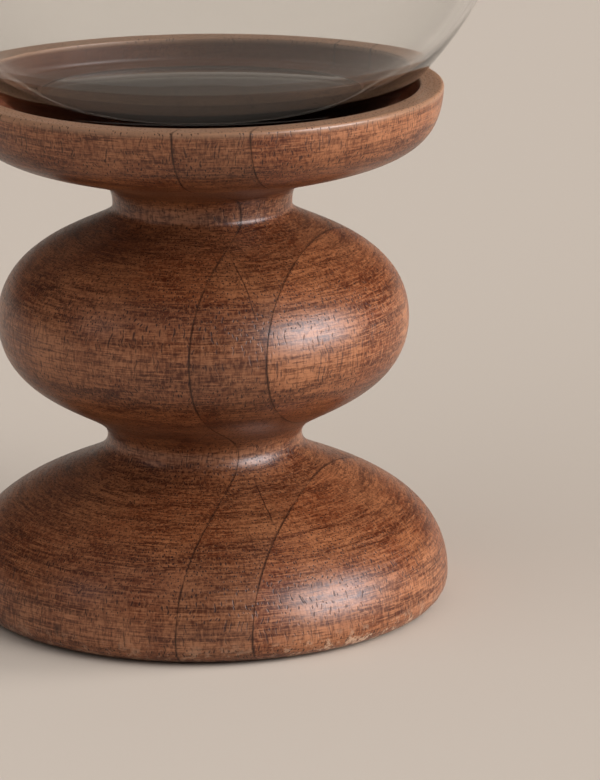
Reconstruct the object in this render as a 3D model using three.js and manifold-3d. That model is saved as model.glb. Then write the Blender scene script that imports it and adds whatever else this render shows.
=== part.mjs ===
// Hurricane candle holder: a turned wooden pedestal with a dish on top, and a clear glass shade standing in the dish.
// Millimetres, +Z up. The origin is on the table, at the centre of the foot.
//
// The pedestal is turned from one blank of three boards glued side by side with upright grain. Outside the two
// necks the turning leaves the outermost board as three separate segments, on the dish, the bulb and the foot.
// Heights of wood and glass are measured from the foot's wooden rim, which the foot pad lifts off the table.

import * as THREE from "three";
import { mergeVertices } from "three/addons/utils/BufferGeometryUtils.js";
import Module from "manifold-3d";

const wasm = await Module();
wasm.setup();

// ---- Driving dimensions ----

const gap = 0.3; // clearance between pieces that touch, and the thickness of a glue line

// Turning stations: the radius and height where the outline runs straight up and down.
const foot = { radius: 75.5, height: 6.8, soleRadius: 69.5 };
const lowerNeck = { radius: 30.1, height: 51.6 };
const bulb = { radius: 63.3, height: 88.7 };
const upperNeck = { radius: 27.5, height: 124.3 };

// How far each flank keeps the direction of the station that it leaves: the handle lengths of its Bezier curve.
const footFlank = { atFoot: 32.5, atNeck: 13.6 };
const bulbUnderside = { atNeck: 10.9, atBulb: 24.9 };
const bulbShoulder = { atBulb: 26.0, atNeck: 7.4 };

// The dish: its side leans in a little below the lip, and its underside falls to a crease above the upper neck.
const dish = {
  radius: 73.9,
  height: 161.5,
  lipRadius: 1.0,
  wallRadius: 66.6,
  floorHeight: 149.6,
  floorCorner: 3.0,
  sideLean: THREE.MathUtils.degToRad(3.5),
  sideHandle: 22.5,
  undersideSlope: THREE.MathUtils.degToRad(22.5),
  undersideHandle: 28.5,
  creaseRadius: 30.4,
  creaseHeight: 131.4,
};

// Glue lines: upright planes, each at a distance from the axis along a normal turned from +X.
const innerSeam = { offset: 20.3, angle: THREE.MathUtils.degToRad(-22.8) };
const outerSeam = { offset: 38.1, angle: THREE.MathUtils.degToRad(-20.1) };

const pad = { radius: 57.7, thickness: 2.0, standsProud: 0.6 };
const liner = { radius: 51, thickness: 1.2 };

// The glass shade: a thick flat base, a bowl that opens at baseSlope, an upright widest ring, and an open mouth.
const glass = {
  baseRadius: 51,
  baseThickness: 5.4,
  floorRadius: 50,
  outerSlope: THREE.MathUtils.degToRad(34.2),
  outerHandle: 30.3,
  innerSlope: THREE.MathUtils.degToRad(22.4),
  innerHandle: 24.8,
  widestRadius: 98.5,
  widestHeight: 243,
  widestHandleBelow: 41,
  widestHandleAbove: 38,
  mouthRadius: 80,
  mouthHeight: 346,
  mouthHandle: 30,
  mouthLean: 5.5,
  wall: 2.0,
};

const turnSegments = 40; // facets round every turned piece
const facetLength = 9; // the longest facet along a curve of an outline
const fewestFacets = 4; // facets along a small rounding
const cutterSize = 400; // edge of the blocks that cut the blank, larger than the whole object

// ---- Materials ----

const stainedWood = new THREE.MeshStandardMaterial({ color: 0x80543e, roughness: 0.5, metalness: 0 });
const blackFelt = new THREE.MeshStandardMaterial({ color: 0x201d1c, roughness: 0.95, metalness: 0 });
const brownFelt = new THREE.MeshStandardMaterial({ color: 0x3a2c24, roughness: 0.95, metalness: 0 });
const clearGlass = new THREE.MeshStandardMaterial({
  color: 0xe4ebe6,
  roughness: 0.03,
  metalness: 0,
  transparent: true,
  opacity: 0.35,
});

// ---- Turning and cutting ----

// An outline's points: straight runs stay whole, and curves are divided into facets.
function facetPoints(outline) {
  const starts = outline.curves.flatMap((curve) => {
    const facets = Math.max(fewestFacets, Math.ceil(curve.getLength() / facetLength));
    return curve.isLineCurve ? [curve.getPoint(0)] : curve.getPoints(facets).slice(0, -1);
  });
  return [...starts, outline.getPoint(1)];
}

// A solid of revolution about Z from an outline of (radius, height) that starts and ends on the axis.
function turn(outline) {
  const geometry = new THREE.LatheGeometry(facetPoints(outline), turnSegments);
  return geometry.rotateX(Math.PI / 2);
}

// The same surface as a manifold-3d solid, for cutting.
function solidFrom(geometry) {
  const bare = geometry.clone();
  bare.deleteAttribute("normal");
  bare.deleteAttribute("uv");
  const merged = mergeVertices(bare);
  return new wasm.Manifold(
    new wasm.Mesh({
      numProp: 3,
      vertProperties: merged.attributes.position.array,
      triVerts: new Uint32Array(merged.index.array),
    }),
  );
}

// A manifold-3d solid back as three.js geometry.
function geometryFrom(solid) {
  const mesh = solid.getMesh();
  const geometry = new THREE.BufferGeometry();
  geometry.setAttribute("position", new THREE.BufferAttribute(mesh.vertProperties, 3));
  geometry.setIndex(new THREE.BufferAttribute(mesh.triVerts, 1));
  geometry.computeVertexNormals();
  return geometry;
}

// Everything on the outer side of a glue line, starting a little inside or outside the line.
function beyondSeam(seam, shift) {
  const block = new THREE.BoxGeometry(cutterSize, cutterSize, cutterSize);
  block.translate(seam.offset + shift + cutterSize / 2, 0, 0);
  block.rotateZ(seam.angle);
  return solidFrom(block);
}

// Everything between two heights.
function layer(bottom, top) {
  const slab = new THREE.BoxGeometry(cutterSize, cutterSize, top - bottom);
  slab.translate(0, 0, (bottom + top) / 2);
  return solidFrom(slab);
}

// ---- Outlines ----

// A flank between two turning stations, upright where it meets each of them.
function flank(path, from, handleFrom, to, handleTo) {
  const climb = Math.sign(to.height - from.height);
  path.bezierCurveTo(
    from.radius,
    from.height + climb * handleFrom,
    to.radius,
    to.height - climb * handleTo,
    to.radius,
    to.height,
  );
}

// The whole pedestal, from the middle of its underside up the outside and down into the dish.
function pedestalOutline() {
  const recessRadius = pad.radius + gap;
  const recessCeiling = pad.thickness - pad.standsProud + gap;
  const lipHeight = dish.height - dish.lipRadius;
  const path = new THREE.Path();
  path.moveTo(0, recessCeiling);
  path.lineTo(recessRadius, recessCeiling);
  path.lineTo(recessRadius, 0);
  path.lineTo(foot.soleRadius, 0);
  path.absellipse(
    foot.soleRadius,
    foot.height,
    foot.radius - foot.soleRadius,
    foot.height,
    -Math.PI / 2,
    0,
    false,
  );
  flank(path, foot, footFlank.atFoot, lowerNeck, footFlank.atNeck);
  flank(path, lowerNeck, bulbUnderside.atNeck, bulb, bulbUnderside.atBulb);
  flank(path, bulb, bulbShoulder.atBulb, upperNeck, bulbShoulder.atNeck);
  path.bezierCurveTo(
    upperNeck.radius,
    upperNeck.height + 0.6 * (dish.creaseHeight - upperNeck.height),
    dish.creaseRadius - 0.6 * (dish.creaseRadius - upperNeck.radius),
    dish.creaseHeight - 0.7,
    dish.creaseRadius,
    dish.creaseHeight,
  );
  path.bezierCurveTo(
    dish.creaseRadius + dish.undersideHandle * Math.cos(dish.undersideSlope),
    dish.creaseHeight + dish.undersideHandle * Math.sin(dish.undersideSlope),
    dish.radius - dish.sideHandle * Math.sin(dish.sideLean),
    lipHeight - dish.sideHandle * Math.cos(dish.sideLean),
    dish.radius,
    lipHeight,
  );
  path.absarc(dish.radius - dish.lipRadius, lipHeight, dish.lipRadius, 0, Math.PI / 2, false);
  path.lineTo(dish.wallRadius, dish.height);
  path.lineTo(dish.wallRadius, dish.floorHeight + dish.floorCorner);
  path.absarc(
    dish.wallRadius - dish.floorCorner,
    dish.floorHeight + dish.floorCorner,
    dish.floorCorner,
    0,
    -Math.PI / 2,
    true,
  );
  path.lineTo(0, dish.floorHeight);
  return path;
}

// The shade, from the middle of its base up the outside, over the mouth, and down the inside.
function glassOutline(baseHeight) {
  const floorHeight = baseHeight + glass.baseThickness;
  const innerWidest = glass.widestRadius - glass.wall;
  const innerMouth = glass.mouthRadius - glass.wall;
  const path = new THREE.Path();
  path.moveTo(0, baseHeight);
  path.lineTo(glass.baseRadius, baseHeight);
  path.bezierCurveTo(
    glass.baseRadius + glass.outerHandle * Math.cos(glass.outerSlope),
    baseHeight + glass.outerHandle * Math.sin(glass.outerSlope),
    glass.widestRadius,
    glass.widestHeight - glass.widestHandleBelow,
    glass.widestRadius,
    glass.widestHeight,
  );
  path.bezierCurveTo(
    glass.widestRadius,
    glass.widestHeight + glass.widestHandleAbove,
    glass.mouthRadius + glass.mouthLean,
    glass.mouthHeight - glass.mouthHandle,
    glass.mouthRadius,
    glass.mouthHeight,
  );
  path.absarc(glass.mouthRadius - glass.wall / 2, glass.mouthHeight, glass.wall / 2, 0, Math.PI, false);
  path.bezierCurveTo(
    innerMouth + glass.mouthLean,
    glass.mouthHeight - glass.mouthHandle,
    innerWidest,
    glass.widestHeight + glass.widestHandleAbove,
    innerWidest,
    glass.widestHeight,
  );
  path.bezierCurveTo(
    innerWidest,
    glass.widestHeight - glass.widestHandleBelow,
    glass.floorRadius + glass.innerHandle * Math.cos(glass.innerSlope),
    floorHeight + glass.innerHandle * Math.sin(glass.innerSlope),
    glass.floorRadius,
    floorHeight,
  );
  path.lineTo(0, floorHeight);
  return path;
}

// A flat round felt disc.
function discOutline(radius, bottom, thickness) {
  const path = new THREE.Path();
  path.moveTo(0, bottom);
  path.lineTo(radius, bottom);
  path.lineTo(radius, bottom + thickness);
  path.lineTo(0, bottom + thickness);
  return path;
}

// ---- Pieces ----

function piece(name, geometry, material) {
  const mesh = new THREE.Mesh(geometry, material);
  mesh.name = name;
  return mesh;
}

// The turned blank, cut along its glue lines.
function woodenPieces() {
  const blank = solidFrom(turn(pedestalOutline()));
  const insideInnerSeam = blank.subtract(beyondSeam(innerSeam, -gap / 2));
  const outsideInnerSeam = blank.intersect(beyondSeam(innerSeam, gap / 2));
  const betweenSeams = outsideInnerSeam.subtract(beyondSeam(outerSeam, -gap / 2));
  const outsideOuterSeam = blank.intersect(beyondSeam(outerSeam, gap / 2));
  const sideBoards = {
    foot_side_board: layer(-cutterSize / 2, lowerNeck.height),
    bulb_side_board: layer(lowerNeck.height, upperNeck.height),
    dish_side_board: layer(upperNeck.height, cutterSize / 2),
  };
  return [
    piece("pedestal_main_block", geometryFrom(insideInnerSeam), stainedWood),
    piece("pedestal_middle_board", geometryFrom(betweenSeams), stainedWood),
    ...Object.entries(sideBoards).map(([name, heights]) =>
      piece(name, geometryFrom(outsideOuterSeam.intersect(heights)), stainedWood),
    ),
  ];
}

function dishLiner() {
  const outline = discOutline(liner.radius, dish.floorHeight + gap, liner.thickness);
  return piece("dish_liner", turn(outline), blackFelt);
}

function glassShade() {
  const outline = glassOutline(dish.floorHeight + gap + liner.thickness + gap);
  return piece("glass_shade", turn(outline), clearGlass);
}

function footPad() {
  const outline = discOutline(pad.radius, -pad.standsProud, pad.thickness);
  return piece("foot_pad", turn(outline), brownFelt);
}

// ---- Assembly ----

const candleHolder = new THREE.Group();
candleHolder.position.z = pad.standsProud;
candleHolder.add(...woodenPieces());
candleHolder.add(dishLiner());
candleHolder.add(footPad());
candleHolder.add(glassShade());

export default candleHolder;
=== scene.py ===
import math
import random

import bmesh
import bpy
import numpy as np
from mathutils import Matrix, Vector, noise


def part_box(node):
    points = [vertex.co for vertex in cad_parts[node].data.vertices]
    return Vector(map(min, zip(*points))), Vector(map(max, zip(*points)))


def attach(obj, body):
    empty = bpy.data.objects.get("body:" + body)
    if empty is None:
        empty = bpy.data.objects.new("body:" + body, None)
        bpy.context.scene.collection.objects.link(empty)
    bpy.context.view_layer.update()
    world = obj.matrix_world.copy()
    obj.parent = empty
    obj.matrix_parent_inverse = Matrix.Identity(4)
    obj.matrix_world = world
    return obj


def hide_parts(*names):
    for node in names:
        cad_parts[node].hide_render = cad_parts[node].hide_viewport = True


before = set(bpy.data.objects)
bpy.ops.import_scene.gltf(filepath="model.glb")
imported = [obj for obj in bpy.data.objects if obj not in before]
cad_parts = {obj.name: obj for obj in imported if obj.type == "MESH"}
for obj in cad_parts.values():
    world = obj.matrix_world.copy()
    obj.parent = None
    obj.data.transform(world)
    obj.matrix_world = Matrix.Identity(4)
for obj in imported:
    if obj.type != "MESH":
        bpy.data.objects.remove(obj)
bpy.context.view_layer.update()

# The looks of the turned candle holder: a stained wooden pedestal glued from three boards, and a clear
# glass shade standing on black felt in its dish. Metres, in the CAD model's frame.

# ---- Places taken from the CAD frame ----

WOOD_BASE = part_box("pedestal_main_block")[0].z
GLASS_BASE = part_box("glass_shade")[0].z - WOOD_BASE

# ---- The turned outline of the wood: radius, and height above the wooden foot's underside ----

FOOT = (0.0755, 0.0068)
SOLE_RADIUS = 0.0695
LOWER_NECK = (0.0301, 0.0516)
BULB = (0.0633, 0.0887)
UPPER_NECK = (0.0275, 0.1243)
FOOT_FLANK = (0.0325, 0.0136)
BULB_UNDERSIDE = (0.0109, 0.0249)
BULB_SHOULDER = (0.0260, 0.0074)
CREASE = (0.0304, 0.1314)
DISH_RADIUS = 0.0739
DISH_TOP = 0.1615
DISH_WALL = 0.0666
DISH_FLOOR = 0.1496
DISH_CORNER = 0.003
LIP_ROUNDING = 0.001
EDGE_ROUNDING = 0.0005
SIDE_LEAN = math.radians(3.5)
SIDE_HANDLE = 0.0225
UNDERSIDE_SLOPE = math.radians(22.5)
UNDERSIDE_HANDLE = 0.0285
PAD_RECESS = (0.0580, 0.0017)

# ---- The glass: radii, heights above the wooden foot, and the handles of its curves ----

GLASS_FOOT_RADIUS = 0.051
GLASS_FLOOR_RADIUS = 0.050
GLASS_FLOOR = GLASS_BASE + 0.0054
GLASS_WIDEST = (0.0985, 0.243)
GLASS_MOUTH = (0.080, 0.346)
GLASS_WALL = 0.002
GLASS_FILLET = 0.003
OUTER_SLOPE = math.radians(34.2)
OUTER_HANDLE = 0.0303
INNER_SLOPE = math.radians(22.4)
INNER_HANDLE = 0.0248
WIDEST_HANDLES = (0.041, 0.038)
MOUTH_HANDLE = 0.030
MOUTH_LEAN = 0.0055

# ---- Glue lines: upright planes at a distance from the axis, along a normal turned from +X ----

INNER_SEAM = (0.0203, math.radians(-22.8))
OUTER_SEAM = (0.0381, math.radians(-20.1))
GLUE_WIDTH = 0.00016
GLUE_CLEARANCE = 0.00001
GLUE_DEPTH = 0.00022

# ---- Fineness of the meshes ----

WOOD_STEP = 0.0012
WOOD_SEGMENTS = 240
GLUE_STEP = 0.002
GLUE_SEGMENTS = 160
GLASS_STEP = 0.002
GLASS_SEGMENTS = 192
FELT_STEP = 0.0015
FELT_SEGMENTS = 180
SHARP_ANGLE = math.radians(40)


class Outline:
    """A half section as (radius, height) points, drawn with lines, Bezier curves and arcs."""

    def __init__(self, radius, height, step):
        self.points = [(radius, height)]
        self.step = step

    def divide(self, curve, length, fewest):
        count = max(fewest, math.ceil(length / self.step))
        for index in range(1, count + 1):
            self.points.append(tuple(curve(index / count)))

    def line(self, radius, height):
        start = np.array(self.points[-1])
        end = np.array((radius, height))
        self.divide(lambda t: start + t * (end - start), np.linalg.norm(end - start), 1)

    def bezier(self, first, second, end):
        start, first, second, end = (np.array(p) for p in (self.points[-1], first, second, end))

        def at(t):
            s = 1 - t
            return s**3 * start + 3 * s * s * t * first + 3 * s * t * t * second + t**3 * end

        polygon = (start, first, second, end)
        length = sum(np.linalg.norm(b - a) for a, b in zip(polygon, polygon[1:]))
        self.divide(at, length, 6)

    def arc(self, centre, radii, start, end):
        def at(t):
            angle = start + t * (end - start)
            return centre[0] + radii[0] * math.cos(angle), centre[1] + radii[1] * math.sin(angle)

        self.divide(at, max(radii) * abs(end - start), 4)

    def round_off(self, reach):
        """Rounds the corner at the outline's end, into a level line that runs towards the axis from it."""
        corner = np.array(self.points[-1])
        self.points = [p for p in self.points if np.linalg.norm(np.array(p) - corner) > reach]
        start = np.array(self.points[-1])
        end = np.array((corner[0] - reach, corner[1]))
        self.divide(lambda t: (1 - t) ** 2 * start + 2 * t * (1 - t) * corner + t * t * end, 2 * reach, 6)

    def flank(self, handles, end):
        """A curve to the next turning station, upright where it leaves and where it arrives."""
        start = self.points[-1]
        climb = math.copysign(1, end[1] - start[1])
        first = (start[0], start[1] + climb * handles[0])
        second = (end[0], end[1] - climb * handles[1])
        self.bezier(first, second, end)


def pedestal_outline(step):
    """The whole pedestal, from the middle of its underside up the outside and down into the dish."""
    lip = DISH_TOP - LIP_ROUNDING
    outline = Outline(0, PAD_RECESS[1], step)
    outline.line(*PAD_RECESS)
    outline.line(PAD_RECESS[0], 0)
    outline.line(SOLE_RADIUS, 0)
    outline.arc((SOLE_RADIUS, FOOT[1]), (FOOT[0] - SOLE_RADIUS, FOOT[1]), -math.pi / 2, 0)
    outline.flank(FOOT_FLANK, LOWER_NECK)
    outline.flank(BULB_UNDERSIDE, BULB)
    outline.flank(BULB_SHOULDER, UPPER_NECK)
    outline.bezier(
        (UPPER_NECK[0], UPPER_NECK[1] + 0.6 * (CREASE[1] - UPPER_NECK[1])),
        (CREASE[0] - 0.6 * (CREASE[0] - UPPER_NECK[0]), CREASE[1] - 0.0007),
        CREASE,
    )
    outline.bezier(
        (
            CREASE[0] + UNDERSIDE_HANDLE * math.cos(UNDERSIDE_SLOPE),
            CREASE[1] + UNDERSIDE_HANDLE * math.sin(UNDERSIDE_SLOPE),
        ),
        (DISH_RADIUS - SIDE_HANDLE * math.sin(SIDE_LEAN), lip - SIDE_HANDLE * math.cos(SIDE_LEAN)),
        (DISH_RADIUS, lip),
    )
    outline.arc((DISH_RADIUS - LIP_ROUNDING, lip), (LIP_ROUNDING, LIP_ROUNDING), 0, math.pi / 2)
    outline.line(DISH_WALL + EDGE_ROUNDING, DISH_TOP)
    edge = (DISH_WALL + EDGE_ROUNDING, DISH_TOP - EDGE_ROUNDING)
    outline.arc(edge, (EDGE_ROUNDING, EDGE_ROUNDING), math.pi / 2, math.pi)
    outline.line(DISH_WALL, DISH_FLOOR + DISH_CORNER)
    corner = (DISH_WALL - DISH_CORNER, DISH_FLOOR + DISH_CORNER)
    outline.arc(corner, (DISH_CORNER, DISH_CORNER), 0, -math.pi / 2)
    outline.line(0, DISH_FLOOR)
    return outline.points


def glass_outline(step):
    """The shade, from the middle of its base up the outside, over the mouth, and down the inside."""
    widest, height = GLASS_WIDEST
    mouth, mouth_height = GLASS_MOUTH
    inner_widest = widest - GLASS_WALL
    inner_mouth = mouth - GLASS_WALL
    below, above = WIDEST_HANDLES
    outline = Outline(0, GLASS_BASE, step)
    outline.line(GLASS_FOOT_RADIUS, GLASS_BASE)
    outline.bezier(
        (
            GLASS_FOOT_RADIUS + OUTER_HANDLE * math.cos(OUTER_SLOPE),
            GLASS_BASE + OUTER_HANDLE * math.sin(OUTER_SLOPE),
        ),
        (widest, height - below),
        (widest, height),
    )
    outline.bezier(
        (widest, height + above),
        (mouth + MOUTH_LEAN, mouth_height - MOUTH_HANDLE),
        GLASS_MOUTH,
    )
    lip = (mouth - GLASS_WALL / 2, mouth_height)
    outline.arc(lip, (GLASS_WALL / 2, GLASS_WALL / 2), 0, math.pi)
    outline.bezier(
        (inner_mouth + MOUTH_LEAN, mouth_height - MOUTH_HANDLE),
        (inner_widest, height + above),
        (inner_widest, height),
    )
    outline.bezier(
        (inner_widest, height - below),
        (
            GLASS_FLOOR_RADIUS + INNER_HANDLE * math.cos(INNER_SLOPE),
            GLASS_FLOOR + INNER_HANDLE * math.sin(INNER_SLOPE),
        ),
        (GLASS_FLOOR_RADIUS, GLASS_FLOOR),
    )
    outline.round_off(GLASS_FILLET)
    outline.line(0, GLASS_FLOOR)
    return outline.points


def inset(points, depth):
    """An outline moved into its material by depth, and still starting and ending on the axis."""
    line = np.array(points)
    along = np.gradient(line, axis=0)
    inward = np.stack((-along[:, 1], along[:, 0]), axis=1)
    inward /= np.linalg.norm(inward, axis=1)[:, None]
    moved = line + depth * inward
    moved[0] = (0, line[0][1] + depth)
    moved[-1] = (0, line[-1][1] - depth)
    return [tuple(p) for p in moved]


# ---- Meshes ----

# Each softbox is reflected only in the pieces of one of these.
SATIN_PIECES = bpy.data.collections.new("satin_pieces")
CLEAR_PIECES = bpy.data.collections.new("clear_pieces")


def turn(points, segments, base):
    """A closed bmesh of revolution about Z from an outline that starts and ends on the axis."""
    turned = bmesh.new()
    angles = [2 * math.pi * index / segments for index in range(segments)]
    rings = []
    for radius, height in points:
        if radius == 0:
            rings.append([turned.verts.new((0, 0, base + height))])
        else:
            ring = [(radius * math.cos(a), radius * math.sin(a), base + height) for a in angles]
            rings.append([turned.verts.new(place) for place in ring])
    for lower, upper in zip(rings, rings[1:]):
        for index in range(segments):
            after = (index + 1) % segments
            corners = [lower[index % len(lower)], lower[after % len(lower)]]
            corners += [upper[after % len(upper)], upper[index % len(upper)]]
            turned.faces.new(dict.fromkeys(corners))
    for face in turned.faces:
        face.smooth = True
    return turned


def seam_plane(seam, shift):
    offset, angle = seam
    normal = Vector((math.cos(angle), math.sin(angle), 0))
    return normal * (offset + shift), normal


def cut(solid, seam, shift, keep_inner):
    """Keeps the part of a solid on one side of a seam, and closes it with flat faces."""
    place, normal = seam_plane(seam, shift)
    bmesh.ops.bisect_plane(
        solid,
        geom=solid.verts[:] + solid.edges[:] + solid.faces[:],
        dist=1e-7,
        plane_co=place,
        plane_no=normal,
        clear_outer=keep_inner,
        clear_inner=not keep_inner,
    )
    open_edges = [edge for edge in solid.edges if edge.is_boundary]
    closed = bmesh.ops.holes_fill(solid, edges=open_edges, sides=0)
    for face in closed["faces"]:
        face.smooth = False
    for edge in open_edges:
        edge.smooth = False
    bmesh.ops.triangulate(solid, faces=closed["faces"])


def keep_layer(solid, low, high):
    """Drops the separate segments of a cut board that lie outside two heights."""
    outside = [vert for vert in solid.verts if not low < vert.co.z < high]
    bmesh.ops.delete(solid, geom=outside, context="VERTS")


def finish_piece(name, solid, body, material, slot):
    """Turns a bmesh into an object that rides on a body and takes a material."""
    bmesh.ops.recalc_face_normals(solid, faces=solid.faces[:])
    mesh = bpy.data.meshes.new(name)
    solid.to_mesh(mesh)
    solid.free()
    mesh.set_sharp_from_angle(angle=SHARP_ANGLE)
    mesh.materials.append(material)
    piece = bpy.data.objects.new(name, mesh)
    bpy.context.scene.collection.objects.link(piece)
    lit_with = CLEAR_PIECES if slot == "clear_glass" else SATIN_PIECES
    lit_with.objects.link(piece)
    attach(piece, body)
    return piece


# ---- Node graphs for materials ----


class Graph:
    """The node tree of a material or a world. Each method adds a node and returns its output socket."""

    def __init__(self, owner):
        self.owner = owner
        owner.use_nodes = True
        self.tree = owner.node_tree
        self.tree.nodes.clear()

    def feed(self, socket, value):
        if isinstance(value, bpy.types.NodeSocket):
            self.tree.links.new(value, socket)
        else:
            socket.default_value = value

    def add(self, kind, settings=None, inputs=None):
        node = self.tree.nodes.new(kind)
        for key, value in (settings or {}).items():
            setattr(node, key, value)
        for key, value in (inputs or {}).items():
            self.feed(node.inputs[key], value)
        return node

    def maths(self, operation, *values):
        inputs = dict(enumerate(values))
        return self.add("ShaderNodeMath", {"operation": operation}, inputs).outputs[0]

    def vector(self, operation, *values):
        inputs = dict(enumerate(values))
        node = self.add("ShaderNodeVectorMath", {"operation": operation}, inputs)
        scalar = operation in ("DOT_PRODUCT", "LENGTH", "DISTANCE")
        return node.outputs["Value" if scalar else "Vector"]

    def place(self):
        """The point on the object, in metres in the CAD frame."""
        return self.add("ShaderNodeTexCoord").outputs["Object"]

    def split(self, vector):
        return self.add("ShaderNodeSeparateXYZ", inputs={0: vector}).outputs

    def join(self, x, y, z):
        return self.add("ShaderNodeCombineXYZ", inputs={0: x, 1: y, 2: z}).outputs[0]

    def noise(self, vector, scale=1.0, detail=2.0, roughness=0.5, turn=None, colour=False):
        settings = {"noise_dimensions": "3D" if turn is None else "4D"}
        inputs = {"Vector": vector, "Scale": scale, "Detail": detail, "Roughness": roughness}
        if turn is not None:
            inputs["W"] = turn
        return self.add("ShaderNodeTexNoise", settings, inputs).outputs["Color" if colour else "Fac"]

    def band(self, value, low, high, to_low=0.0, to_high=1.0):
        """A smooth step from to_low at low to to_high at high; low may be the larger."""
        inputs = {"Value": value, "From Min": low, "From Max": high, "To Min": to_low, "To Max": to_high}
        return self.add("ShaderNodeMapRange", {"interpolation_type": "SMOOTHSTEP"}, inputs).outputs[0]

    def mix(self, factor, first, second, blend="MIX"):
        node = self.add("ShaderNodeMix", {"data_type": "RGBA", "blend_type": blend})
        self.feed(node.inputs["Factor"], factor)
        self.feed(node.inputs[6], first)
        self.feed(node.inputs[7], second)
        return node.outputs[2]

    def bump(self, height, distance, strength):
        inputs = {"Height": height, "Distance": distance, "Strength": strength}
        return self.add("ShaderNodeBump", inputs=inputs).outputs["Normal"]

    def shade(self, **inputs):
        """The final Principled shader; keyword names are socket names with underscores for spaces."""
        named = {key.replace("_", " "): value for key, value in inputs.items()}
        shader = self.add("ShaderNodeBsdfPrincipled", inputs=named)
        self.add("ShaderNodeOutputMaterial", inputs={"Surface": shader.outputs[0]})
        return self.owner


# ---- Wood ----

PORE_SPACING = 0.00135
PORE_RUN = 0.0022  # length of a pore up the grain before it closes
PORE_DRIFT = 0.005  # how far the grain wanders sideways
SCRATCH = 0.00038  # width of the finest tool marks
TURNING_LINE = 0.0008  # width of the usual lines round the turning
STAIN_BAND = 0.0032  # width of the bands of wiped stain
RING_WIDTH = 0.0045  # thickness of a year's growth
HEART = (math.cos(math.radians(25)), math.sin(math.radians(25)), 0)  # across the growth rings

STAIN_TONES = ((0.050, 0.0088, 0.0024), (0.162, 0.043, 0.0145), (0.375, 0.158, 0.076))
SOAKED = (0.78, 0.70, 0.61, 1)  # how much darker the stain is on end grain
STAINED_PORE = (0.026, 0.0070, 0.0035, 1)
WORN_WOOD = (0.58, 0.38, 0.26, 1)
# Painted sheen: the pale, less red tone laid over the top of the dish's lip.
PAINTED_LIP_SHEEN = (0.39, 0.225, 0.14, 1)

# Dark hairlines in the middle board: offset and angle of the plane, lowest and highest point, strength.
CHECKS = (
    (-0.0067, math.radians(21.4), 0.1025, 0.1165, 0.75),
    (0.0050, math.radians(17.1), 0.0365, 0.0455, 0.90),
    (-0.0015, math.radians(15.0), 0.0300, 0.0370, 0.40),
)
WORN_SPOT = (0.0470, -0.0590, 0.0060)  # where the foot's edge has been knocked most
KNOT = (-0.0445, -0.0600, 0.0085)
KNOT_RADIUS = 0.0014


def pore_masks(graph, place):
    """Open pores and the paler wood round them: upright tubes, cut as dots on slopes, dashes on walls."""
    wander = graph.noise(graph.vector("MULTIPLY", place, (1, 1, 2.5)), 60, 2, 0.5, colour=True)
    drift = graph.vector("SUBTRACT", wander, (0.5, 0.5, 0.5))
    drift = graph.vector("MULTIPLY", drift, (PORE_DRIFT, PORE_DRIFT, 0))
    inputs = {"Vector": graph.vector("ADD", place, drift), "Scale": 1 / PORE_SPACING, "Randomness": 0.8}
    cells = graph.add("ShaderNodeTexVoronoi", {"voronoi_dimensions": "2D", "feature": "F1"}, inputs)
    chance = graph.split(cells.outputs["Color"])
    level = graph.maths("DIVIDE", graph.split(place)[2], PORE_RUN)
    open_run = graph.noise(graph.join(graph.maths("MULTIPLY", chance[1], 90.0), level, 0.0), 1.0, 1.0)
    openness = graph.maths("ADD", open_run, graph.maths("MULTIPLY", chance[0], 0.20))
    width = graph.band(openness, 0.34, 0.75, 0.03, 0.19)
    outside = graph.maths("SUBTRACT", cells.outputs["Distance"], width)
    pores = graph.band(outside, 0.06, -0.06)
    halo = graph.maths("MULTIPLY", graph.band(outside, 0.02, 0.08), graph.band(outside, 0.30, 0.12))
    return pores, halo


def turning_noise(graph, place, line, runs, detail, seed):
    """Noise drawn out round the axis, as tool marks and wiped stain are. runs sets how often it changes."""
    x, y, z = graph.split(place)
    radius = graph.maths("MAXIMUM", graph.vector("LENGTH", graph.join(x, y, 0.0)), 0.001)
    across = graph.maths("DIVIDE", graph.maths("MULTIPLY", x, runs), radius)
    along = graph.maths("DIVIDE", graph.maths("MULTIPLY", y, runs), radius)
    height = graph.maths("DIVIDE", z, line)
    width = graph.maths("DIVIDE", radius, line)
    return graph.noise(graph.join(width, height, across), 1.0, detail, 0.6, graph.maths("ADD", along, seed))


def growth_rings(graph, place):
    """Thin dark late wood, once a year across the board: upright, slightly wavy sheets."""
    across = graph.maths("DIVIDE", graph.vector("DOT_PRODUCT", place, HEART), RING_WIDTH)
    wave = graph.noise(graph.vector("MULTIPLY", place, (1, 1, 0.25)), 28, 3, 0.5)
    phase = graph.maths("FRACT", graph.maths("ADD", across, graph.maths("MULTIPLY", wave, 3.5)))
    late = graph.maths("MULTIPLY", graph.band(phase, 0.80, 0.95), graph.band(phase, 1.0, 0.97))
    return graph.maths("MULTIPLY", late, graph.band(graph.noise(place, 70, 1), 0.42, 0.65))


def hairline(graph, place, check):
    """A short dark line in the grain: where an upright plane meets the surface between two heights."""
    offset, angle, low, high, strength = check
    normal = (math.cos(angle), math.sin(angle), 0)
    distance = graph.maths("SUBTRACT", graph.vector("DOT_PRODUCT", place, normal), offset)
    wander = graph.maths("MULTIPLY", graph.maths("SUBTRACT", graph.noise(place, 150, 2), 0.5), 0.0016)
    near = graph.band(graph.maths("ABSOLUTE", graph.maths("ADD", distance, wander)), 0.00034, 0.00008)
    height = graph.split(place)[2]
    above = graph.band(height, low - 0.001, low + 0.002)
    below = graph.band(height, high + 0.001, high - 0.002)
    front = graph.band(graph.split(place)[1], 0.0, -0.005)
    window = graph.maths("MULTIPLY", graph.maths("MULTIPLY", above, below), front)
    return graph.maths("MULTIPLY", graph.maths("MULTIPLY", near, window), strength)


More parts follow.
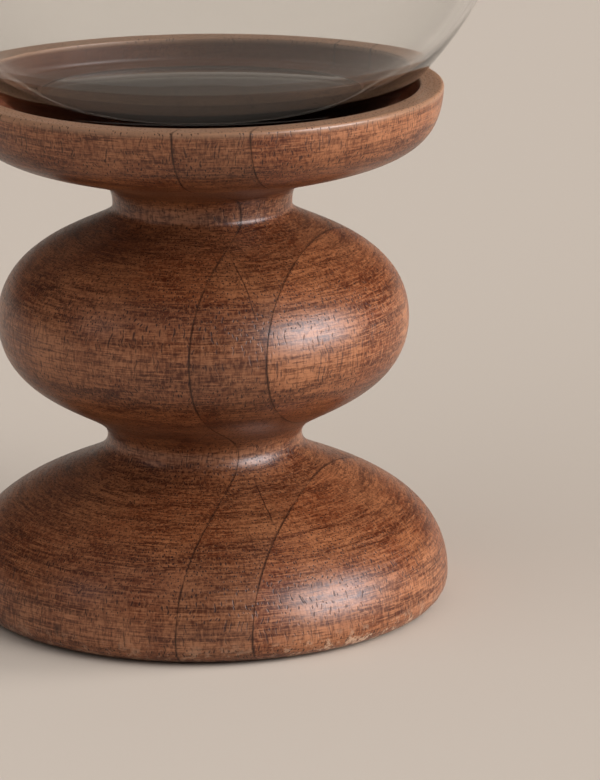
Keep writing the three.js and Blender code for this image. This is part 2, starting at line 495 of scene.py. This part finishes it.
def seam_shade(graph, place, seam):
    """Stain that has gathered beside a glue line."""
    offset, angle = seam
    distance = graph.vector("DOT_PRODUCT", place, (math.cos(angle), math.sin(angle), 0))
    distance = graph.maths("ABSOLUTE", graph.maths("SUBTRACT", distance, offset))
    gathered = graph.band(graph.noise(place, 90, 2), 0.34, 0.58, 0.15, 0.70)
    return graph.maths("MULTIPLY", graph.band(distance, 0.00055, 0.00012), gathered)


def dish_inside(graph, place):
    """1 on the dish's floor and inner wall: the hollow that gets painted shade instead of end-grain
    darkening.
    """
    x, y, z = graph.split(place)
    radius = graph.vector("LENGTH", graph.join(x, y, 0.0))
    above = graph.band(z, WOOD_BASE + DISH_FLOOR - 0.002, WOOD_BASE + DISH_FLOOR - 0.001)
    return graph.maths("MULTIPLY", above, graph.band(radius, DISH_WALL + 0.001, DISH_WALL))


def end_grain(graph, inside):
    """How far the surface lies back from upright, and 1 where it cuts across the grain outside the dish."""
    facing = graph.split(graph.add("ShaderNodeNewGeometry").outputs["Normal"])[2]
    slope = graph.maths("ABSOLUTE", facing)
    return slope, graph.maths("SUBTRACT", graph.band(slope, 0.10, 0.70), inside)


def wear_and_lip_sheen(graph, colour, place, grain):
    """A painted sheen on the dish's lip, worn patches at the foot's edge, and a small knot."""
    height = graph.split(place)[2]
    # Painted sheen: the top 2.5 mm of the dish, all round, made paler.
    lip = graph.band(height, WOOD_BASE + DISH_TOP - 0.0025, WOOD_BASE + DISH_TOP - 0.0002, 0.0, 0.70)
    colour = graph.mix(lip, colour, PAINTED_LIP_SHEEN)
    foot_edge = graph.band(height, WOOD_BASE + 0.009, WOOD_BASE + 0.002)
    patches = graph.band(graph.noise(grain, 330, 4, 0.7), 0.50, 0.62)
    worn = graph.band(graph.vector("DISTANCE", place, WORN_SPOT), 0.036, 0.014, 0.35, 0.95)
    worn = graph.maths("MULTIPLY", worn, graph.maths("MULTIPLY", foot_edge, patches))
    colour = graph.mix(worn, colour, WORN_WOOD)
    from_knot = graph.vector("DISTANCE", place, KNOT)
    knot = graph.band(from_knot, 1.6 * KNOT_RADIUS, 0.4 * KNOT_RADIUS, 0.0, 0.85)
    return graph.mix(knot, colour, STAINED_PORE)


def wood(name, tones, seed, seams, checks=()):
    """Satin stained wood with upright pores and turning marks, from its dark, middle and light colours."""
    dark, middle, light = tones
    graph = Graph(bpy.data.materials.new(name))
    place = graph.place()
    grain = graph.vector("ADD", place, (0.37 * seed, 0.21 * seed, 0.29 * seed))
    inside = dish_inside(graph, place)
    slope, across = end_grain(graph, inside)
    pores, halo = pore_masks(graph, grain)

    bands = turning_noise(graph, place, STAIN_BAND, 1.6, 3.0, 10.0)
    lines = turning_noise(graph, place, TURNING_LINE, 4.0, 2.0, 20.0)
    scratches = turning_noise(graph, place, SCRATCH, 11.0, 2.0, 30.0)
    cloud = graph.noise(graph.vector("MULTIPLY", grain, (1, 1, 0.4)), 45, 3, 0.55)
    fibre = graph.noise(graph.vector("MULTIPLY", grain, (1, 1, 0.08)), 1500, 2, 0.6)
    flecks = graph.noise(graph.vector("MULTIPLY", grain, (1, 1, 0.5)), 1100, 2, 0.6)

    # Each layer goes over the ones before: where its noise runs from one value to the other, and how much.
    layers = (
        (bands, 0.44, 0.64, 0.80, dark),
        (lines, 0.50, 0.70, 0.50, light),
        (lines, 0.50, 0.32, 0.65, dark),
        (scratches, 0.52, 0.64, 0.75, light),
        (scratches, 0.48, 0.36, 0.70, dark),
        (fibre, 0.48, 0.72, 0.50, dark),
        (flecks, 0.50, 0.64, 0.42, light),
        (flecks, 0.48, 0.36, 0.42, dark),
    )
    colour = graph.mix(graph.band(cloud, 0.35, 0.68), middle, light)
    for pattern, low, high, amount, tone in layers:
        colour = graph.mix(graph.band(pattern, low, high, 0.0, amount), colour, tone)
    colour = graph.mix(graph.maths("MULTIPLY", halo, 0.20), colour, light)
    colour = graph.mix(graph.maths("MULTIPLY", growth_rings(graph, grain), 0.35), colour, dark)
    colour = graph.mix(across, colour, graph.mix(1.0, colour, SOAKED, "MULTIPLY"))
    # Painted shade: the dish's floor and inner wall darkened towards the dark stain tone.
    colour = graph.mix(graph.maths("MULTIPLY", inside, 0.80), colour, dark)
    colour = wear_and_lip_sheen(graph, colour, place, grain)

    pore_shade = graph.maths("MULTIPLY", pores, graph.band(slope, 0.05, 0.45, 0.50, 0.88))
    colour = graph.mix(pore_shade, colour, STAINED_PORE)
    for seam in seams:
        colour = graph.mix(seam_shade(graph, place, seam), colour, STAINED_PORE)
    for check in checks:
        colour = graph.mix(hairline(graph, place, check), colour, STAINED_PORE)

    relief = graph.maths("MULTIPLY", pores, -1.0)
    relief = graph.maths("ADD", relief, graph.maths("MULTIPLY", scratches, 0.6))
    relief = graph.maths("ADD", relief, graph.maths("MULTIPLY", fibre, 0.3))
    matt = graph.maths("ADD", lines, graph.maths("MULTIPLY", pores, 0.5))
    return graph.shade(
        Base_Color=colour,
        Roughness=graph.band(matt, 0.3, 1.0, 0.30, 0.48),
        Normal=graph.bump(relief, 0.00006, 0.6),
        Specular_IOR_Level=0.40,
    )


def board_tones(brightness, redness):
    """Dark, middle and light stain colours of one board."""
    return [
        (red * brightness * redness, green * brightness, blue * brightness / redness, 1)
        for red, green, blue in STAIN_TONES
    ]


# ---- Wooden pieces ----

RIPPLE = 0.00004  # height of the faint waves that the turning tool leaves
OVALITY = 0.00012  # slow departure from round
DENTS = 12
DENT_DEPTH = 0.00022


def edge_dents(seed):
    """Small knocks on the two exposed edges, as (place, radius, depth)."""
    draw = random.Random(seed)
    dents = []
    for index in range(DENTS):
        on_foot = index % 3 > 0
        radius = FOOT[0] - 0.001 if on_foot else DISH_RADIUS
        height = 0.002 if on_foot else DISH_TOP - 0.0005
        angle = draw.uniform(0, 2 * math.pi)
        place = Vector((radius * math.cos(angle), radius * math.sin(angle), WOOD_BASE + height))
        dents.append((place, draw.uniform(0.002, 0.0045), DENT_DEPTH * draw.uniform(0.5, 1.0)))
    return dents


def work_by_hand(solid):
    """Moves the surface towards or away from the axis: slight unevenness of turning, and knocks of use."""
    dents = edge_dents(5)
    for vert in solid.verts:
        radius = math.hypot(vert.co.x, vert.co.y)
        if radius < 0.001:
            continue
        outward = Vector((vert.co.x / radius, vert.co.y / radius, 0))
        ripple = noise.noise(Vector((vert.co.z / 0.005, 0.5 * outward.x, 0.5 * outward.y)))
        slow = noise.noise(vert.co / 0.045)
        push = RIPPLE * ripple + OVALITY * (slow - 0.3)
        for place, reach, depth in dents:
            gap = (vert.co - place).length / reach
            if gap < 1:
                push -= depth * (1 - gap * gap) ** 2
        vert.co += push * outward


def glue_film(name, seam, blank):
    """The glue in one seam: a thin dark sheet that stops just below the surface of the wood."""
    half = GLUE_WIDTH / 2 - GLUE_CLEARANCE
    cut(blank, seam, half, True)
    cut(blank, seam, -half, False)
    return finish_piece(name, blank, "pedestal", glue(), "stained_wood")


def make_pedestal():
    blank = turn(pedestal_outline(WOOD_STEP), WOOD_SEGMENTS, WOOD_BASE)
    work_by_hand(blank)
    main_wood = wood("wood_main", board_tones(1.0, 1.0), 0.0, [INNER_SEAM])
    middle_wood = wood("wood_middle", board_tones(0.95, 0.98), 1.0, [INNER_SEAM, OUTER_SEAM], CHECKS)
    outer_wood = wood("wood_outer", board_tones(1.10, 1.02), 2.0, [OUTER_SEAM])

    main_block = blank.copy()
    cut(main_block, INNER_SEAM, -GLUE_WIDTH / 2, True)
    piece = finish_piece("main_block", main_block, "pedestal", main_wood, "stained_wood")
    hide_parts("pedestal_main_block")

    middle_board = blank.copy()
    cut(middle_board, INNER_SEAM, GLUE_WIDTH / 2, False)
    cut(middle_board, OUTER_SEAM, -GLUE_WIDTH / 2, True)
    piece = finish_piece("middle_board", middle_board, "pedestal", middle_wood, "stained_wood")
    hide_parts("pedestal_middle_board")

    cut(blank, OUTER_SEAM, GLUE_WIDTH / 2, False)
    lower = WOOD_BASE + LOWER_NECK[1]
    upper = WOOD_BASE + UPPER_NECK[1]
    for name, low, high in (("foot", -1, lower), ("bulb", lower, upper), ("dish", upper, 1)):
        segment = blank.copy()
        keep_layer(segment, low, high)
        piece = finish_piece(name + "_side", segment, "pedestal", outer_wood, "stained_wood")
        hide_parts(name + "_side_board")
    blank.free()

    core = inset(pedestal_outline(GLUE_STEP), GLUE_DEPTH)
    glue_film("inner_glue_line", INNER_SEAM, turn(core, GLUE_SEGMENTS, WOOD_BASE))
    glue_film("outer_glue_line", OUTER_SEAM, turn(core, GLUE_SEGMENTS, WOOD_BASE))


def glue():
    graph = Graph(bpy.data.materials.new("glue"))
    shade = graph.noise(graph.place(), 220, 2)
    colour = graph.mix(shade, (0.010, 0.004, 0.003, 1), (0.030, 0.012, 0.007, 1))
    return graph.shade(Base_Color=colour, Roughness=0.6)


# ---- Felt ----

BLACK_WOOL = ((0.005, 0.0048, 0.0046, 1), (0.016, 0.0145, 0.013, 1))
BROWN_WOOL = ((0.03, 0.02, 0.014, 1), (0.07, 0.05, 0.036, 1))
NAP = 0.00008  # depth of the unevenness of a felt's upper face


def felt(name, dark, light):
    """Short pressed wool: fine tangled fibres with a soft nap."""
    graph = Graph(bpy.data.materials.new(name))
    place = graph.place()
    fibre = graph.noise(graph.vector("MULTIPLY", place, (1, 1.6, 1)), 2600, 4, 0.7)
    clump = graph.noise(place, 320, 3, 0.6)
    colour = graph.mix(graph.band(fibre, 0.35, 0.7), dark, light)
    colour = graph.mix(graph.band(clump, 0.5, 0.75, 0.0, 0.35), colour, light)
    relief = graph.maths("ADD", fibre, graph.maths("MULTIPLY", clump, 0.6))
    return graph.shade(
        Base_Color=colour,
        Roughness=0.95,
        Specular_IOR_Level=0.2,
        Normal=graph.bump(relief, 0.0002, 0.8),
    )


def felt_disc(name, node, material, slot, seed):
    """A die-cut felt disc in the place of a CAD disc, with softened edges and an uneven nap."""
    low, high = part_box(node)
    radius = high.x
    rounding = 0.3 * (high.z - low.z)
    outline = Outline(0, low.z, FELT_STEP)
    outline.line(radius - rounding, low.z)
    outline.arc((radius - rounding, low.z + rounding), (rounding, rounding), -math.pi / 2, 0)
    outline.line(radius, high.z - rounding)
    outline.arc((radius - rounding, high.z - rounding), (rounding, rounding), 0, math.pi / 2)
    outline.line(0, high.z)
    disc = turn(outline.points, FELT_SEGMENTS, 0)
    middle = (low.z + high.z) / 2
    for vert in disc.verts:
        wave = 0.5 + 0.5 * noise.noise(vert.co / 0.004 + Vector((seed, 0, 0)))
        if vert.co.z > middle:
            vert.co.z -= NAP * wave
    piece = finish_piece(name, disc, "pedestal", material, slot)
    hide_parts(node)


# ---- Glass ----

GLASS_WAVE = 0.00012  # unevenness of the blown inner face


def clear_glass():
    graph = Graph(bpy.data.materials.new("clear_glass"))
    return graph.shade(
        Base_Color=(0.985, 0.992, 0.987, 1),
        Roughness=0.0,
        IOR=1.50,
        Transmission_Weight=1.0,
        Specular_IOR_Level=0.5,
    )


def make_shade():
    solid = turn(glass_outline(GLASS_STEP), GLASS_SEGMENTS, WOOD_BASE)
    for vert in solid.verts:
        radius = math.hypot(vert.co.x, vert.co.y)
        if radius < 0.001:
            continue
        outward = Vector((vert.co.x / radius, vert.co.y / radius, 0))
        wave = noise.noise(Vector((2.2 * outward.x, 2.2 * outward.y, vert.co.z / 0.05)))
        vert.co -= (GLASS_WAVE * (0.5 + wave)) * outward
    piece = finish_piece("hurricane_glass", solid, "shade", clear_glass(), "clear_glass")
    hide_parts("glass_shade")
    piece.visible_shadow = False  # clear glass lets the lamps through to the dish and the floor


# ---- Studio ----

BACKDROP = (0.578, 0.491, 0.418, 1)  # what the camera sees of the floor and, level with it, of the world
FLOOR = (0.60, 0.53, 0.468, 1)
DOME = (0.082, 0.067, 0.055, 1)
WARM = (1.0, 0.98, 0.95)
NEUTRAL = (1.0, 1.0, 1.0)
PALE_BLUE = (0.93, 0.96, 1.0)
COOL = (0.90, 0.94, 1.0)
SOFTBOX_DISTANCE = 2.5  # from a point on the axis at LIT_HEIGHT
LIT_HEIGHT = 0.1
FLOOR_RADIUS = 60
CAMERA_PLACE = (0, -1.323, 0.426)  # from the middle of the wooden foot's underside
CAMERA_ANGLES = (15.28, 1.28, -0.32)  # degrees: down, to the right, and rolled


def make_floor():
    bpy.ops.mesh.primitive_circle_add(vertices=96, radius=FLOOR_RADIUS, fill_type="NGON")
    floor = bpy.context.object
    floor.name = "floor"
    graph = Graph(bpy.data.materials.new("floor"))
    floor.data.materials.append(graph.shade(Base_Color=FLOOR, Roughness=0.9, Specular_IOR_Level=0.1))


def make_world():
    """A backdrop that matches the far floor where they meet, and a dim studio above it."""
    graph = Graph(bpy.data.worlds.new("studio"))
    direction = graph.add("ShaderNodeTexCoord").outputs["Generated"]
    above = graph.band(graph.split(direction)[2], 0.03, 0.11)
    colour = graph.mix(above, BACKDROP, DOME)
    background = graph.add("ShaderNodeBackground", inputs={"Color": colour, "Strength": 1.0})
    graph.add("ShaderNodeOutputWorld", inputs={"Surface": background.outputs[0]})
    bpy.context.scene.world = graph.owner


def toward(azimuth, elevation):
    """A direction from the object: azimuth in degrees to the right of the camera's side, and elevation."""
    a, e = math.radians(azimuth), math.radians(elevation)
    return Vector((math.sin(a) * math.cos(e), -math.cos(a) * math.cos(e), math.sin(e)))


def aim(thing, direction):
    thing.rotation_mode = "QUATERNION"
    thing.rotation_quaternion = direction.to_track_quat("Z", "Y")


def make_sun(name, azimuth, elevation, strength, spread, colour):
    """A light for matt surfaces: even over the whole floor, with soft shadows."""
    light = bpy.data.lights.new(name, "SUN")
    light.energy = strength
    light.angle = math.radians(spread)
    light.color = colour
    sun = bpy.data.objects.new(name, light)
    bpy.context.scene.collection.objects.link(sun)
    aim(sun, toward(azimuth, elevation))
    sun.visible_glossy = False
    sun.visible_transmission = False


def make_softbox(name, azimuth, elevation, size, radiance, colour, pieces):
    """A rectangular light that shows only as a reflection in some of the pieces."""
    light = bpy.data.lights.new(name, "AREA")
    light.shape = "RECTANGLE"
    light.size, light.size_y = size
    light.energy = radiance * math.pi * size[0] * size[1]
    light.color = colour
    box = bpy.data.objects.new(name, light)
    bpy.context.scene.collection.objects.link(box)
    direction = toward(azimuth, elevation)
    box.location = Vector((0, 0, LIT_HEIGHT)) + SOFTBOX_DISTANCE * direction
    aim(box, direction)
    box.visible_camera = False
    box.visible_diffuse = False
    box.light_linking.receiver_collection = pieces


def make_camera():
    """The photograph's viewpoint: a long lens from a little above, looking slightly right of the axis."""
    lens = bpy.data.cameras.new("camera")
    lens.sensor_width = 36
    lens.lens = 204.5
    lens.clip_start = 0.05
    lens.clip_end = 200
    camera = bpy.data.objects.new("camera", lens)
    bpy.context.scene.collection.objects.link(camera)
    pitch, yaw, roll = (math.radians(angle) for angle in CAMERA_ANGLES)
    forward = Vector((math.sin(yaw), math.cos(yaw), 0)) * math.cos(pitch)
    forward.z = -math.sin(pitch)
    level = Vector((math.cos(yaw), -math.sin(yaw), 0))
    upright = level.cross(forward)
    right = math.cos(roll) * level + math.sin(roll) * upright
    up = math.cos(roll) * upright - math.sin(roll) * level
    place = Vector(CAMERA_PLACE) + Vector((0, 0, WOOD_BASE))
    axes = Matrix((right, up, -forward)).transposed().to_4x4()
    camera.matrix_world = Matrix.Translation(place) @ axes
    bpy.context.scene.camera = camera


make_camera()
make_floor()
make_world()
make_sun("key_high", 62, 38, 1.8, 45, WARM)
make_sun("key_low", 95, 12, 3.5, 28, WARM)
make_sun("fill", -55, 35, 0.55, 70, NEUTRAL)
make_sun("top", 0, 75, 0.7, 90, NEUTRAL)
make_softbox("window", 63, 17, (1.8, 1.5), 13, COOL, SATIN_PIECES)
make_softbox("window_in_glass", 63, 17, (1.3, 1.5), 2.6, COOL, CLEAR_PIECES)
make_softbox("fill_window", -64, 27, (0.8, 1.0), 0.8, PALE_BLUE, SATIN_PIECES)
make_softbox("fill_window_in_glass", -64, 27, (0.8, 1.0), 0.8, PALE_BLUE, CLEAR_PIECES)
bpy.context.scene.view_settings.view_transform = "Standard"

make_pedestal()
felt_disc("dish_felt", "dish_liner", felt("felt_black", *BLACK_WOOL), "black_felt", 1)
felt_disc("foot_felt", "foot_pad", felt("felt_brown", *BROWN_WOOL), "brown_felt", 2)
make_shade()
